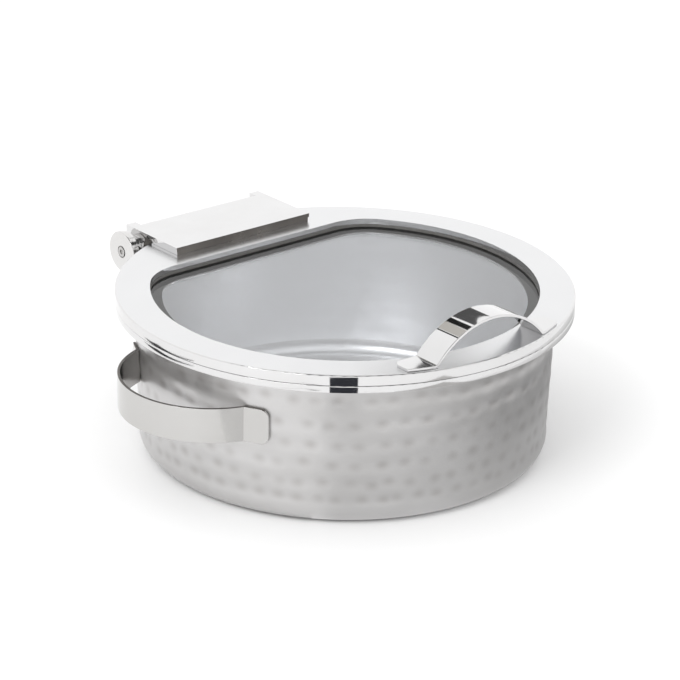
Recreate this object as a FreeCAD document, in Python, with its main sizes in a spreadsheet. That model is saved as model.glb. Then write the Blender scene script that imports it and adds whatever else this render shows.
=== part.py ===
import FreeCAD, Part
import Sketcher
import math
import os
import re

# Round hammered chafing dish with a hinged flat lid and a D-shaped window.
# Units are millimetres.  +Z is up, the origin is on the bowl axis at the table.
# The lid handle is at -Y, the lid hinge at +Y, the side handles at -X and +X.

doc = FreeCAD.newDocument("chafer")
sheet = doc.addObject("Spreadsheet::Sheet", "dims")
scratch = doc.addObject("Spreadsheet::Sheet", "sizes")

DIMENSIONS = [
    # lid and rim
    ("lid_radius", 195.0),
    ("lid_top", 140.8),
    ("lid_foot", 132.1),
    ("lid_edge_round", 1.4),
    ("sheet", 1.5),
    ("seam", 131.7),
    ("rim_low", 126.0),
    ("rim_inner", 176.5),
    ("rim_edge_round", 0.8),
    # bowl
    ("bowl_top_radius", 179.4),
    ("bowl_low_radius", 176.0),
    ("bowl_corner", 13.5),
    ("bowl_lift", 0.8),
    ("base_radius", 140.0),
    ("base_thick", 3.2),
    ("base_gap", 0.4),
    ("base_round", 0.6),
    # window
    ("window_radius", 165.0),
    ("window_chord", 122.9),
    ("window_corner", 50.0),
    ("lip_low", 135.8),
    ("glass_top", 133.2),
    ("glass_thick", 4.0),
    ("glass_cover", 5.0),
    ("gasket_cover", 6.6),
    ("gasket_tongue", 10.0),
    ("gasket_low", 1.0),
    ("retainer_cover", 8.1),
    ("retainer_ledge", 9.0),
    ("retainer_gap", 0.05),
    # pads under the lid
    ("pad_outer", 193.3),
    ("pad_inner", 186.5),
    ("pad_half", 6.0),
    ("pad_gap", 0.1),
    # lid handle
    ("grip_arch", 74.3),
    ("grip_rise", 170.5),
    ("grip_thick", 2.5),
    ("grip_foot", 81.0),
    ("grip_near", 157.0),
    ("grip_far", 183.0),
    ("grip_corner", 7.0),
    ("grip_bend", 3.0),
    ("grip_trim", 192.4),
    # side handles
    ("strap_centre", 140.8),
    ("strap_radius", 78.2),
    ("strap_thick", 2.5),
    ("strap_low", 68.5),
    ("strap_high", 98.5),
    ("tab_outer", 181.0),
    ("tab_root", 170.0),
    ("tab_angle", 31.0),
    ("tab_corner", 7.0),
    ("strap_bend", 3.0),
    # hinge
    ("axis_y", 203.6),
    ("axis_z", 128.7),
    ("shaft_radius", 5.0),
    ("running_gap", 0.05),
    ("barrel_radius", 8.0),
    ("plate_half", 74.0),
    ("plate_front", 140.2),
    ("plate_top", 148.0),
    ("plate_sheet", 3.6),
    ("plate_bend", 10.0),
    ("plate_back", 215.5),
    ("apron_low", 116.0),
    ("plate_edge_round", 0.4),
    ("lug_in", 64.0),
    ("lug_radius", 11.0),
    ("lug_front", 17.0),
    ("backing_inset", 1.0),
    ("backing_trim", 193.0),
    ("collar_radius", 12.5),
    ("collar_out", 80.7),
    ("ear_in", 81.0),
    ("ear_thick", 3.5),
    ("ear_radius", 17.8),
    ("disc_radius", 18.5),
    ("plain_in", 75.3),
    ("plain_radius", 15.6),
    ("plain_disc", 12.5),
    ("washer_out", 75.0),
    ("disc_thick", 3.5),
    ("disc_round", 0.9),
    ("end_bore", 5.5),
    ("end_bore_deep", 2.2),
    ("end_head", 4.6),
    ("end_head_high", 2.6),
    ("end_thread", 3.0),
    ("end_thread_long", 14.0),
    ("socket_flat", 4.0),
    ("socket_deep", 1.6),
    # hinge bracket on the bowl
    ("bracket_face", 184.0),
    ("bracket_thick", 3.5),
    ("bracket_low", 72.0),
    ("bracket_high", 118.0),
    ("saddle_half", 45.0),
    ("saddle_low", 77.0),
    ("saddle_high", 113.0),
    ("saddle_root", 165.0),
    ("bolt_x", 28.0),
    ("bolt_low", 84.0),
    ("bolt_high", 106.0),
    ("bolt_radius", 2.95),
    ("bolt_head", 5.0),
    ("bolt_head_high", 3.0),
    ("bolt_tip", 178.4),
    # studs that hold the hinge plate to the lid
    ("stud_x", 50.0),
    ("stud_front", 152.0),
    ("stud_rear", 174.0),
    ("stud_radius", 2.5),
    ("stud_low", 134.2),
    ("nut_flat", 8.0),
    ("nut_high", 3.2),
]

for row, (alias, size) in enumerate(DIMENSIONS, start=1):
    sheet.set("A%d" % row, alias)
    sheet.set("B%d" % row, "%g" % size)
    sheet.setAlias("B%d" % row, alias)
doc.recompute()

RESERVED = ("sqrt", "cos", "sin", "deg")


def bound(text):
    """Expression on the sheet, from text that uses bare aliases."""
    swap = lambda m: m.group(0) if m.group(0) in RESERVED else "dims." + m.group(0)
    return re.sub(r"[a-z_]{2,}", swap, text)


def size_of(text):
    """Number that an expression of the sheet's aliases gives."""
    scratch.set("A1", "=" + bound(text))
    scratch.recompute()
    return float(scratch.get("A1"))


def new_body(label):
    body = doc.addObject("PartDesign::Body", label)
    body.Label = label
    body.Placement = FreeCAD.Placement()
    return body


def origin_plane(body, role):
    for item in body.Origin.OriginFeatures:
        if item.Role == role:
            return item
    raise ValueError(role)


def new_sketch(body, role, lift="0"):
    """Sketch on an origin plane of the body, moved along its normal by lift."""
    sketch = body.newObject("Sketcher::SketchObject", body.Label + "_sketch")
    sketch.AttachmentSupport = [(origin_plane(body, role), "")]
    sketch.MapMode = "FlatFace"
    if lift != "0":
        sketch.AttachmentOffset = FreeCAD.Placement(
            FreeCAD.Vector(0, 0, size_of(lift)), FreeCAD.Rotation()
        )
        sketch.setExpression("AttachmentOffset.Base.z", bound(lift))
    return sketch


def pin_point(sketch, geometry, point, x, y):
    """Hold one sketch point at the coordinates two expressions give."""
    for kind, axis, text in (("DistanceX", -2, x), ("DistanceY", -1, y)):
        if text == "0":
            rule = Sketcher.Constraint("PointOnObject", geometry, point, axis)
            sketch.addConstraint(rule)
            continue
        rule = Sketcher.Constraint(kind, -1, 1, geometry, point, size_of(text))
        index = sketch.addConstraint(rule)
        sketch.setExpression("Constraints[%d]" % index, bound(text))


def draw_loop(sketch, corners):
    """Closed loop through corners.

    Each corner is (x, y) for a straight edge to it from the one before, or
    (x, y, radius, side) for an arc, where side is +1 if the arc turns left
    the short way, -1 right the short way, +2 left the long way.
    """
    first = sketch.GeometryCount
    points = [FreeCAD.Vector(size_of(c[0]), size_of(c[1]), 0) for c in corners]
    count = len(corners)
    for i in range(count):
        start = points[i]
        end = points[(i + 1) % count]
        step = corners[(i + 1) % count]
        if len(step) == 2:
            sketch.addGeometry(Part.LineSegment(start, end), False)
            continue
        radius = size_of(step[2])
        chord = end - start
        half = chord.Length / 2
        rise = math.sqrt(max(radius * radius - half * half, 0))
        left = FreeCAD.Vector(-chord.y, chord.x, 0).normalize()
        turn = 1 if step[3] > 0 else -1
        reach = rise * turn * (-1 if abs(step[3]) == 2 else 1)
        centre = (start + end) * 0.5 + left * reach
        middle = centre - left * radius * turn
        arc = Part.Arc(start, middle, end)
        sketch.addGeometry(arc, False)
    for i in range(count):
        here = first + i
        after = first + (i + 1) % count
        step = corners[(i + 1) % count]
        is_arc = len(step) == 4
        next_arc = len(corners[(i + 2) % count]) == 4
        end_here = arc_end(sketch, here, points[(i + 1) % count]) if is_arc else 2
        start_after = (
            arc_end(sketch, after, points[(i + 1) % count]) if next_arc else 1
        )
        sketch.addConstraint(
            Sketcher.Constraint("Coincident", here, end_here, after, start_after)
        )
        if is_arc:
            index = sketch.addConstraint(
                Sketcher.Constraint("Radius", here, size_of(step[2]))
            )
            sketch.setExpression("Constraints[%d]" % index, bound(step[2]))
        pin_point(sketch, here, end_here, corners[(i + 1) % count][0],
                  corners[(i + 1) % count][1])


def arc_end(sketch, geometry, point):
    """Which end of an arc (1 or 2) lies at a point."""
    one = sketch.getPoint(geometry, 1)
    two = sketch.getPoint(geometry, 2)
    return 1 if (one - point).Length < (two - point).Length else 2


def draw_circle(sketch, x, y, radius):
    centre = FreeCAD.Vector(size_of(x), size_of(y), 0)
    index = sketch.addGeometry(
        Part.Circle(centre, FreeCAD.Vector(0, 0, 1), size_of(radius)), False
    )
    rule = sketch.addConstraint(Sketcher.Constraint("Radius", index, size_of(radius)))
    sketch.setExpression("Constraints[%d]" % rule, bound(radius))
    pin_point(sketch, index, 3, x, y)


def draw_hexagon(sketch, x, y, flat):
    """Regular hexagon with two corners on the sketch's x direction."""
    corners = []
    for k in range(6):
        turn = 60 * k
        across = "(%s)/sqrt(3)" % flat
        corners.append((
            "%s + %s*cos(%d deg)" % (x, across, turn),
            "%s + %s*sin(%d deg)" % (y, across, turn),
        ))
    draw_loop(sketch, corners)


def draw_window(sketch, offset):
    """D-shaped loop: the window outline moved outward by offset."""
    inner = "(window_radius - window_corner)"
    low = "(window_chord - window_corner)"
    side = "sqrt(%s^2 - %s^2)" % (inner, low)
    scale = "((window_radius + %s) / %s)" % (offset, inner)
    chord = "window_chord + %s" % offset
    bend = "window_corner + %s" % offset
    arc = "window_radius + %s" % offset
    draw_loop(sketch, [
        ("-1 * %s" % side, chord),
        ("-1 * %s * %s" % (side, scale), "%s * %s" % (low, scale), bend, 1),
        ("%s * %s" % (side, scale), "%s * %s" % (low, scale), arc, 2),
        (side, chord, bend, 1),
    ])


def feature(body, kind, sketch, name):
    item = body.newObject("PartDesign::" + kind, body.Label + "_" + name)
    item.Profile = sketch
    sketch.Visibility = False
    return item


def pad(body, sketch, length, both=False):
    item = feature(body, "Pad", sketch, "pad")
    item.Length = size_of(length)
    item.setExpression("Length", bound(length))
    item.Midplane = both
    doc.recompute()
    return item


def pocket(body, sketch, length, along):
    """Cut a sketch out of the body: along is +1 with the sketch's normal, -1
    against it, 0 half the length each way."""
    before = body.Shape.Volume
    item = feature(body, "Pocket", sketch, "pocket")
    item.Length = size_of(length)
    item.setExpression("Length", bound(length))
    item.Midplane = along == 0
    item.Reversed = along > 0
    doc.recompute()
    if body.Shape.Volume > before - 0.01:
        raise ValueError("pocket cuts nothing in " + body.Label)
    return item


def turn_about_z(body, sketch, kind="Revolution"):
    """Revolve, or groove, a sketch in the XZ plane about the vertical axis."""
    item = feature(body, kind, sketch, kind.lower())
    item.ReferenceAxis = (sketch, ["V_Axis"])
    item.Angle = 360
    doc.recompute()
    return item


def round_edges(body, chosen, radius, kind="Fillet"):
    """Fillet or chamfer the edges of the body's tip that chosen accepts."""
    tip = body.Tip
    names = [
        "Edge%d" % (i + 1)
        for i, edge in enumerate(tip.Shape.Edges)
        if chosen(edge)
    ]
    if not names:
        raise ValueError("no edge to round in " + body.Label)
    item = body.newObject("PartDesign::" + kind, body.Label + "_" + kind.lower())
    item.Base = (tip, names)
    prop = "Radius" if kind == "Fillet" else "Size"
    setattr(item, prop, size_of(radius))
    item.setExpression(prop, bound(radius))
    doc.recompute()
    return item


def circle_at(edge, radius, centre, axis):
    """Whether an edge is a full circle of a radius about a centre point."""
    curve = edge.Curve
    if not isinstance(curve, Part.Circle):
        return False
    near = (curve.Center - FreeCAD.Vector(*centre)).Length < 0.01
    along = abs(curve.Axis.dot(FreeCAD.Vector(*axis))) > 0.999
    return near and along and abs(curve.Radius - radius) < 0.01


def wall_groove(body, top):
    """Cut away everything inside the bowl's outer wall surface."""
    sketch = new_sketch(body, "XZ_Plane")
    slope = "((bowl_top_radius - bowl_low_radius) / (seam - sheet - bowl_lift - bowl_corner))"
    low = "bowl_low_radius"
    high = "bowl_low_radius + %s * (%s - bowl_lift - bowl_corner)" % (slope, top)
    draw_loop(sketch, [
        ("0", "bowl_lift + bowl_corner"),
        (low, "bowl_lift + bowl_corner"),
        (high, top),
        ("0", top),
    ])
    turn_about_z(body, sketch, "Groove")


# ---------------------------------------------------------------- bowl

def build_bowl():
    body = new_body("bowl_shell")
    sketch = new_sketch(body, "XZ_Plane")
    flat = "bowl_low_radius - bowl_corner"
    step = "base_radius + base_gap"
    draw_loop(sketch, [
        ("0", "base_thick"),
        (step, "base_thick"),
        (step, "bowl_lift"),
        (flat, "bowl_lift"),
        ("bowl_low_radius", "bowl_lift + bowl_corner", "bowl_corner", 1),
        ("bowl_top_radius", "seam - sheet"),
        ("bowl_top_radius - sheet", "seam - sheet"),
        ("bowl_low_radius - sheet", "bowl_lift + bowl_corner"),
        (flat, "bowl_lift + sheet", "bowl_corner - sheet", -1),
        (step + " + sheet", "bowl_lift + sheet"),
        (step + " + sheet", "base_thick + sheet"),
        ("0", "base_thick + sheet"),
    ])
    turn_about_z(body, sketch)


def build_rim():
    body = new_body("bowl_rim_ring")
    sketch = new_sketch(body, "XZ_Plane")
    draw_loop(sketch, [
        ("rim_inner", "seam - sheet"),
        ("lid_radius - sheet", "seam - sheet"),
        ("lid_radius - sheet", "rim_low"),
        ("lid_radius", "rim_low"),
        ("lid_radius", "seam"),
        ("rim_inner", "seam"),
    ])
    turn_about_z(body, sketch)
    radius = size_of("lid_radius")
    high = size_of("seam")
    outer = lambda e: circle_at(e, radius, (0, 0, high), (0, 0, 1))
    round_edges(body, outer, "rim_edge_round")


def build_base_disc():
    body = new_body("induction_base_disc")
    sketch = new_sketch(body, "XY_Plane")
    draw_circle(sketch, "0", "0", "base_radius")
    pad(body, sketch, "base_thick")
    radius = size_of("base_radius")
    lower = lambda e: circle_at(e, radius, (0, 0, 0), (0, 0, 1))
    round_edges(body, lower, "base_round")


# ---------------------------------------------------------------- side handles

def build_side_handle(label, side):
    """Strap loop with a tab at each end that follows the bowl wall."""
    body = new_body(label)
    sketch = new_sketch(body, "XY_Plane", "strap_low")
    s = "%d * " % side
    square = "(2 * strap_centre)"
    out_x = "((tab_outer^2 - strap_radius^2 + strap_centre^2) / %s)" % square
    out_y = "sqrt(tab_outer^2 - %s^2)" % out_x
    inside = "(strap_radius - strap_thick)"
    in_x = "((tab_root^2 - %s^2 + strap_centre^2) / %s)" % (inside, square)
    in_y = "sqrt(tab_root^2 - %s^2)" % in_x
    cos_t = "cos(tab_angle * 1 deg)"
    sin_t = "sin(tab_angle * 1 deg)"
    turn = side
    draw_loop(sketch, [
        (s + "tab_root * " + cos_t, "-1 * tab_root * " + sin_t, "tab_root", -turn),
        (s + "tab_outer * " + cos_t, "-1 * tab_outer * " + sin_t),
        (s + out_x, "-1 * " + out_y, "tab_outer", turn),
        (s + out_x, out_y, "strap_radius", turn),
        (s + "tab_outer * " + cos_t, "tab_outer * " + sin_t, "tab_outer", turn),
        (s + "tab_root * " + cos_t, "tab_root * " + sin_t),
        (s + in_x, in_y, "tab_root", -turn),
        (s + in_x, "-1 * " + in_y, inside, -turn),
    ])
    pad(body, sketch, "strap_high - strap_low")
    at = (size_of(out_x) * side, size_of(out_y))

    def is_bend(edge):
        box = edge.BoundBox
        upright = box.ZLength > 10 and box.XLength < 0.1 and box.YLength < 0.1
        return upright and math.hypot(box.XMin - at[0], abs(box.YMin) - at[1]) < 0.1

    round_edges(body, is_bend, "strap_bend")
    wall_groove(body, "strap_high + 5")
    angle = size_of("tab_angle")

    def is_corner(edge):
        middle = edge.BoundBox.Center
        turned = math.degrees(math.atan2(abs(middle.y), abs(middle.x)))
        flat = edge.BoundBox.ZLength < 0.01
        return flat and abs(turned - angle) < 0.05 and edge.Length < 6

    round_edges(body, is_corner, "tab_corner")


# ---------------------------------------------------------------- lid

def build_lid_frame():
    body = new_body("lid_frame")
    sketch = new_sketch(body, "XZ_Plane")
    draw_loop(sketch, [
        ("0", "lid_top - sheet"),
        ("lid_radius - sheet", "lid_top - sheet"),
        ("lid_radius - sheet", "lid_foot"),
        ("lid_radius", "lid_foot"),
        ("lid_radius", "lid_top"),
        ("0", "lid_top"),
    ])
    turn_about_z(body, sketch)
    radius = size_of("lid_radius")
    high = size_of("lid_top")
    outer = lambda e: circle_at(e, radius, (0, 0, high), (0, 0, 1))
    round_edges(body, outer, "lid_edge_round")
    lip = new_sketch(body, "XY_Plane", "lip_low")
    draw_window(lip, "sheet")
    pad(body, lip, "lid_top - lip_low")
    opening = new_sketch(body, "XY_Plane", "lip_low - 1")
    draw_window(opening, "0")
    pocket(body, opening, "lid_top - lip_low + 2", 1)
    holes = new_sketch(body, "XY_Plane", "lid_top + 1")
    for x, y in stud_places():
        draw_circle(holes, x, y, "stud_radius + running_gap")
    pocket(body, holes, "sheet + 2", -1)


def stud_places():
    places = []
    for x in ("-1 * stud_x", "stud_x"):
        for y in ("stud_front", "stud_rear"):
            places.append((x, y))
    return places


def build_glass():
    body = new_body("glass_window")
    sketch = new_sketch(body, "XY_Plane", "glass_top - glass_thick")
    draw_window(sketch, "glass_cover")
    pad(body, sketch, "glass_thick")


def build_gasket():
    """Channel of soft rubber around the glass edge."""
    body = new_body("glass_gasket")
    low = "(glass_top - glass_thick - gasket_low)"
    outline = new_sketch(body, "XY_Plane", low)
    draw_window(outline, "gasket_cover")
    pad(body, outline, "lip_low - " + low)
    above = new_sketch(body, "XY_Plane", "glass_top")
    draw_window(above, "0")
    pocket(body, above, "lip_low - glass_top + 1", 1)
    through = new_sketch(body, "XY_Plane", low + " - 1")
    draw_window(through, "(-1 * gasket_tongue)")
    pocket(body, through, "glass_top - %s + 2" % low, 1)
    seat = new_sketch(body, "XY_Plane", "glass_top - glass_thick")
    draw_window(seat, "glass_cover")
    pocket(body, seat, "glass_thick", 1)


def build_retainer():
    """Steel ledge under the glass, hung from the lid by its outer wall."""
    body = new_body("glass_retaining_ring")
    low = "(glass_top - glass_thick - gasket_low - sheet)"
    outline = new_sketch(body, "XY_Plane", low)
    draw_window(outline, "retainer_cover")
    pad(body, outline, "lid_top - sheet - " + low)
    hollow = new_sketch(body, "XY_Plane", low + " + sheet")
    draw_window(hollow, "(gasket_cover + retainer_gap)")
    pocket(body, hollow, "lid_top - %s" % low, 1)
    opening = new_sketch(body, "XY_Plane", low + " - 1")
    draw_window(opening, "(-1 * retainer_ledge)")
    pocket(body, opening, "sheet + 2", 1)


def build_pads():
    """Rubber pads between the lid edge and the rim."""
    body = new_body("lid_bumper_pads")
    sketch = new_sketch(body, "XY_Plane", "seam + pad_gap")
    for angle in (-45, -135, 35, 145):
        c = "cos(%d deg)" % angle
        s = "sin(%d deg)" % angle
        corners = []
        for reach, across in (
            ("pad_inner", "-1"), ("pad_outer", "-1"), ("pad_outer", "1"), ("pad_inner", "1"),
        ):
            long = "sqrt(%s^2 - pad_half^2)" % reach
            wide = "(%s * pad_half)" % across
            corners.append((
                "%s * %s - %s * %s" % (long, c, wide, s),
                "%s * %s + %s * %s" % (long, s, wide, c),
            ))
        draw_loop(sketch, corners)
    pad(body, sketch, "lid_top - sheet - seam - pad_gap")


def build_lid_handle():
    """Arched strap with a flat foot at each end."""
    body = new_body("lid_handle")
    sketch = new_sketch(body, "XZ_Plane", "grip_near")
    drop = "(grip_rise - grip_arch)"
    top = "(lid_top + grip_thick)"
    out_x = "sqrt(grip_arch^2 - (%s - %s)^2)" % (top, drop)
    inside = "(grip_arch - grip_thick)"
    in_x = "sqrt(%s^2 - (lid_top - %s)^2)" % (inside, drop)
    draw_loop(sketch, [
        ("-1 * grip_foot", "lid_top"),
        ("-1 * " + in_x, "lid_top"),
        (in_x, "lid_top", inside, -1),
        ("grip_foot", "lid_top"),
        ("grip_foot", top),
        (out_x, top),
        ("-1 * " + out_x, top, "grip_arch", 1),
        ("-1 * grip_foot", top),
    ])
    pad(body, sketch, "grip_far - grip_near")
    bend_x = size_of(out_x)
    foot_x = size_of("grip_foot")
    high = size_of(top)

    def is_bend(edge):
        box = edge.BoundBox
        along = box.YLength > 10 and box.XLength < 0.01 and abs(box.ZMin - high) < 0.01
        return along and abs(abs(box.XMin) - bend_x) < 0.01

    def is_corner(edge):
        box = edge.BoundBox
        upright = abs(box.ZLength - (high - size_of("lid_top"))) < 0.01
        return upright and box.YLength < 0.01 and abs(abs(box.XMin) - foot_x) < 0.01

    round_edges(body, is_bend, "grip_bend")
    round_edges(body, is_corner, "grip_corner")
    trim = new_sketch(body, "XY_Plane", "grip_rise + 2")
    draw_circle(trim, "0", "0", "grip_trim")
    draw_circle(trim, "0", "0", "grip_trim + 60")
    pocket(body, trim, "grip_rise", -1)


# ---------------------------------------------------------------- hinge, lid side

def build_top_plate():
    """Flat plate with a rear edge bent down and a lug at each end."""
    body = new_body("hinge_top_plate")
    under = "(plate_top - plate_sheet)"
    sketch = new_sketch(body, "YZ_Plane")
    draw_loop(sketch, [
        ("plate_front", under),
        ("plate_back - plate_bend", under),
        ("plate_back - plate_sheet", "plate_top - plate_bend",
         "plate_bend - plate_sheet", -1),
        ("plate_back - plate_sheet", "apron_low"),
        ("plate_back", "apron_low"),
        ("plate_back", "plate_top - plate_bend"),
        ("plate_back - plate_bend", "plate_top", "plate_bend", 1),
        ("plate_front", "plate_top"),
    ])
    pad(body, sketch, "2 * plate_half", both=True)
    for start in ("lug_in", "-1 * plate_half"):
        web = new_sketch(body, "YZ_Plane", start)
        draw_loop(web, [
            ("axis_y - lug_front", under),
            ("axis_y - 10.4", "axis_z - 3.5"),
            ("plate_back", "axis_z"),
            ("plate_back", "plate_top"),
            ("axis_y - 27", "plate_top"),
            ("axis_y - 27", under),
        ])
        pad(body, web, "plate_half - lug_in")
        eye = new_sketch(body, "YZ_Plane", start)
        draw_circle(eye, "axis_y", "axis_z", "lug_radius")
        pad(body, eye, "plate_half - lug_in")
        skirt = new_sketch(body, "YZ_Plane", start)
        draw_loop(skirt, [
            ("plate_back - plate_sheet - 1", "apron_low - 1"),
            ("plate_back + 8", "apron_low - 1"),
            ("plate_back + 8", "axis_z - 11.5"),
            ("plate_back - plate_sheet - 1", "axis_z - 11.5"),
        ])
        pocket(body, skirt, "plate_half - lug_in", 1)
    bore = new_sketch(body, "YZ_Plane")
    draw_circle(bore, "axis_y", "axis_z", "shaft_radius + running_gap")
    pocket(body, bore, "2 * plate_half + 2", 0)
    front = size_of("plate_front")

    def is_front_corner(edge):
        box = edge.BoundBox
        return abs(box.YMax - front) < 0.01 and box.ZLength > 1

    round_edges(body, is_front_corner, "plate_edge_round")


def build_backing_plate():
    """Spacer sheet between the hinge plate and the lid."""
    body = new_body("hinge_backing_plate")
    sketch = new_sketch(body, "XY_Plane", "lid_top")
    half = "(plate_half - backing_inset)"
    back = "sqrt(backing_trim^2 - %s^2)" % half
    draw_loop(sketch, [
        ("-1 * " + half, "plate_front + 0.5"),
        (half, "plate_front + 0.5"),
        (half, back),
        ("-1 * " + half, back, "backing_trim", 1),
    ])
    pad(body, sketch, "plate_top - plate_sheet - lid_top")
    holes = new_sketch(body, "XY_Plane", "plate_top + 1")
    for x, y in stud_places():
        draw_circle(holes, x, y, "stud_radius + running_gap")
    pocket(body, holes, "20", -1)


def build_studs():
    body = new_body("hinge_plate_studs")
    sketch = new_sketch(body, "XY_Plane", "stud_low")
    for x, y in stud_places():
        draw_circle(sketch, x, y, "stud_radius")
    pad(body, sketch, "plate_top - plate_sheet - stud_low")


def build_nuts():
    body = new_body("hinge_plate_nuts")
    sketch = new_sketch(body, "XY_Plane", "lid_top - sheet - nut_high")
    for x, y in stud_places():
        draw_hexagon(sketch, x, y, "nut_flat")
        draw_circle(sketch, x, y, "stud_radius + running_gap")
    pad(body, sketch, "nut_high")


def build_tube(label, start, length, radius):
    """Tube on the hinge axis with a running bore."""
    body = new_body(label)
    sketch = new_sketch(body, "YZ_Plane", start)
    draw_circle(sketch, "axis_y", "axis_z", radius)
    draw_circle(sketch, "axis_y", "axis_z", "shaft_radius + running_gap")
    pad(body, sketch, length)


# ---------------------------------------------------------------- hinge, bowl side

def ear_start(side):
    """Inner face of an ear: the left one leaves room for the wide collar."""
    return "plain_in" if side > 0 else "ear_in"


def build_shaft():
    body = new_body("hinge_shaft")
    sketch = new_sketch(body, "YZ_Plane", "-1 * (ear_in + ear_thick)")
    draw_circle(sketch, "axis_y", "axis_z", "shaft_radius")
    pad(body, sketch, "ear_in + plain_in + 2 * ear_thick")
    for side in (-1, 1):
        start = "%d * (%s + ear_thick + 0.5)" % (side, ear_start(side))
        bore = new_sketch(body, "YZ_Plane", start)
        draw_circle(bore, "axis_y", "axis_z", "end_thread + running_gap")
        pocket(body, bore, "end_thread_long", -side)


def build_saddle():
    """Block between the round bowl wall and the flat hinge bracket."""
    body = new_body("hinge_saddle")
    sketch = new_sketch(body, "XY_Plane", "saddle_low")
    draw_loop(sketch, [
        ("-1 * saddle_half", "saddle_root"),
        ("saddle_half", "saddle_root"),
        ("saddle_half", "bracket_face"),
        ("-1 * saddle_half", "bracket_face"),
    ])
    pad(body, sketch, "saddle_high - saddle_low")
    wall_groove(body, "saddle_high + 5")
    drill_bracket_holes(body, "bolt_tip - 0.3", "bracket_face + 1")


def bolt_places():
    places = []
    for x in ("-1 * bolt_x", "bolt_x"):
        for z in ("bolt_low", "bolt_high"):
            places.append((x, z))
    return places


def drill_bracket_holes(body, start, end):
    """Four holes along Y between two depths."""
    holes = new_sketch(body, "XZ_Plane", "-1 * (%s)" % end)
    for x, z in bolt_places():
        draw_circle(holes, x, z, "bolt_radius + running_gap")
    pocket(body, holes, "%s - (%s)" % (end, start), 1)


def build_bracket():
    """Plate on the saddle with a round ear at each end."""
    body = new_body("hinge_base_bracket")
    sketch = new_sketch(body, "YZ_Plane", "-1 * (ear_in + ear_thick)")
    draw_loop(sketch, [
        ("bracket_face", "bracket_low"),
        ("bracket_face + bracket_thick", "bracket_low"),
        ("bracket_face + bracket_thick", "bracket_high"),
        ("bracket_face", "bracket_high"),
    ])
    pad(body, sketch, "ear_in + plain_in + 2 * ear_thick")
    for start, radius in (
        ("plain_in", "plain_radius"), ("-1 * (ear_in + ear_thick)", "ear_radius"),
    ):
        arm = new_sketch(body, "YZ_Plane", start)
        draw_loop(arm, [
            ("bracket_face", "bracket_low"),
            ("bracket_face + 8", "bracket_low"),
            ("axis_y + 0.84 * " + radius, "axis_z - 0.51 * " + radius),
            ("axis_y", "axis_z + 5"),
            ("axis_y - 0.966 * " + radius, "axis_z + 0.084 * " + radius),
            ("bracket_face", "bracket_high - 6"),
        ])
        pad(body, arm, "ear_thick")
        eye = new_sketch(body, "YZ_Plane", start)
        draw_circle(eye, "axis_y", "axis_z", radius)
        pad(body, eye, "ear_thick")
    bore = new_sketch(body, "YZ_Plane")
    draw_circle(bore, "axis_y", "axis_z", "shaft_radius + running_gap")
    pocket(body, bore, "2 * (ear_in + ear_thick) + 2", 0)
    drill_bracket_holes(body, "bracket_face - 1", "bracket_face + bracket_thick + 1")


def build_bracket_screws():
    """Button-head screws with a hexagon socket, four separate solids."""
    body = new_body("hinge_bracket_screws")
    seat = "(bracket_face + bracket_thick)"
    shank = new_sketch(body, "XZ_Plane", "-1 * " + seat)
    for x, z in bolt_places():
        draw_circle(shank, x, z, "bolt_radius")
    pad(body, shank, "%s - bolt_tip" % seat)
    head = new_sketch(body, "XZ_Plane", "-1 * (%s + bolt_head_high)" % seat)
    for x, z in bolt_places():
        draw_circle(head, x, z, "bolt_head")
    pad(body, head, "bolt_head_high")
    socket = new_sketch(body, "XZ_Plane", "-1 * (%s + bolt_head_high + 1)" % seat)
    for x, z in bolt_places():
        draw_hexagon(socket, x, z, "socket_flat")
    pocket(body, socket, "socket_deep + 1", 1)
    far = size_of(seat + " + bolt_head_high")
    rim = size_of("bolt_head")

    def is_crown(edge):
        if not isinstance(edge.Curve, Part.Circle):
            return False
        centre = edge.Curve.Center
        return abs(edge.Curve.Radius - rim) < 0.01 and abs(centre.y - far) < 0.01

    round_edges(body, is_crown, "1.2")


def build_end_disc(label, side, edge):
    """Round cover disc with a counterbore, outside one ear."""
    body = new_body(label)
    inner = "(%s + ear_thick)" % ear_start(side)
    start = inner if side > 0 else "-1 * (%s + disc_thick)" % inner
    sketch = new_sketch(body, "YZ_Plane", start)
    draw_circle(sketch, "axis_y", "axis_z", edge)
    draw_circle(sketch, "axis_y", "axis_z", "end_thread + running_gap")
    pad(body, sketch, "disc_thick")
    face = "%d * (%s + disc_thick + 1)" % (side, inner)
    bore = new_sketch(body, "YZ_Plane", face)
    draw_circle(bore, "axis_y", "axis_z", "end_bore")
    pocket(body, bore, "end_bore_deep + 1", -side)
    at = (
        side * size_of(inner + " + disc_thick"),
        size_of("axis_y"),
        size_of("axis_z"),
    )
    radius = size_of(edge)
    outer = lambda e: circle_at(e, radius, at, (1, 0, 0))
    round_edges(body, outer, "disc_round")


def build_end_screw(label, side):
    """Socket screw that holds an end disc to the shaft."""
    body = new_body(label)
    ear = ear_start(side) + " + ear_thick"
    seat = "(%s + disc_thick - end_bore_deep)" % ear
    head_at = seat if side > 0 else "-1 * (%s + end_head_high)" % seat
    head = new_sketch(body, "YZ_Plane", head_at)
    draw_circle(head, "axis_y", "axis_z", "end_head")
    pad(body, head, "end_head_high")
    long = "(%s - (%s) + end_thread_long - 1)" % (seat, ear)
    shank_at = "%s - %s" % (seat, long) if side > 0 else "-1 * " + seat
    shank = new_sketch(body, "YZ_Plane", shank_at)
    draw_circle(shank, "axis_y", "axis_z", "end_thread")
    pad(body, shank, long)
    socket = new_sketch(body, "YZ_Plane", "%d * (%s + end_head_high + 1)" % (side, seat))
    draw_hexagon(socket, "axis_y", "axis_z", "socket_flat")
    pocket(body, socket, "socket_deep + 1", -side)


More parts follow.
